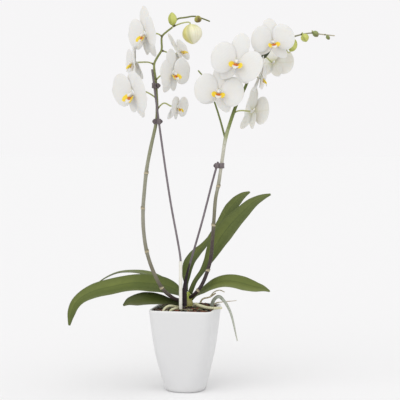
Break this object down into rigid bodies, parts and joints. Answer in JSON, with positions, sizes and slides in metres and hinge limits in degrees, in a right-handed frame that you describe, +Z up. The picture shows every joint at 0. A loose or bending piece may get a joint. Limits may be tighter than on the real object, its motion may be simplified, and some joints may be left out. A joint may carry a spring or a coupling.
{
  "type": "potted orchid",
  "caption": "Potted moth orchid: two arching flower spikes of white blooms and buds on rods, strap leaves and loose roots, in bark in a rounded-square pot.",
  "frame": {"origin": "centre of the pot's flat base, on the surface that it stands on", "axes": "+X to the right of the plant's front, +Y from the front to the back, +Z up"},
  "size_m": [0.4803, 0.1333, 0.6912],
  "materials": {
    "pot": "smooth white glaze",
    "bark": "rough dark bark chips",
    "crown": "smooth yellow-green stem",
    "leaf": "smooth leathery leaf with a dull sheen",
    "sheath": "dry papery sheath",
    "sleeve": "plain white sleeve",
    "rod": "dull dark rod",
    "clip": "dull grey-brown clip",
    "spike": "smooth olive stem",
    "lip": "satin yellow with fine orange dots",
    "tepal": "matt white petal with faint veins",
    "bud_cream": "satin cream bud",
    "bud_green": "satin yellow-green bud",
    "bud_small": "satin green bud",
    "root": "dull pale green root",
    "root_aerial": "dull silvery aerial root",
    "root_dry": "dull dry root"
  },
  "bodies": {
    "root": {"bark": "bark", "bloom_left_1": "tepal", "bloom_left_1_lip": "lip", "bloom_left_2": "tepal", "bloom_left_2_lip": "lip", "bloom_left_3": "tepal", "bloom_left_3_lip": "lip", "bloom_left_4": "tepal", "bloom_left_4_lip": "lip", "bloom_left_5": "tepal", "bloom_left_5_lip": "lip", "bloom_left_6": "tepal", "bloom_left_6_lip": "lip", "bloom_right_1": "tepal", "bloom_right_1_lip": "lip", "bloom_right_2": "tepal", "bloom_right_2_lip": "lip", "bloom_right_3": "tepal", "bloom_right_3_lip": "lip", "bloom_right_4": "tepal", "bloom_right_4_lip": "lip", "bloom_right_5": "tepal", "bloom_right_5_lip": "lip", "bloom_right_6": "tepal", "bloom_right_6_lip": "lip", "bud_left_1": "bud_cream", "bud_left_2": "bud_green", "bud_left_3": "bud_small", "bud_right_1": "bud_green", "bud_right_2": "bud_green", "bud_right_3": "bud_small", "bud_right_4": "bud_small", "clip_left_lower": "clip", "clip_left_upper": "clip", "clip_right": "clip", "crown": "crown", "dry_sheath": "sheath", "leaf_back_left": "leaf", "leaf_front_left": "leaf", "leaf_low_left": "leaf", "leaf_right": "leaf", "leaf_tall_back": "leaf", "leaf_tall_right": "leaf", "pot": "pot", "rod_left": "rod", "rod_right": "rod", "rod_sleeve": "sleeve", "root_dry_tip": "root_dry", "root_over_bark": "root", "root_over_rim": "root_aerial", "roots_fine": "root_dry", "roots_left": "root", "spike_left": "spike", "spike_right": "spike"}
  },
  "joints": []
}
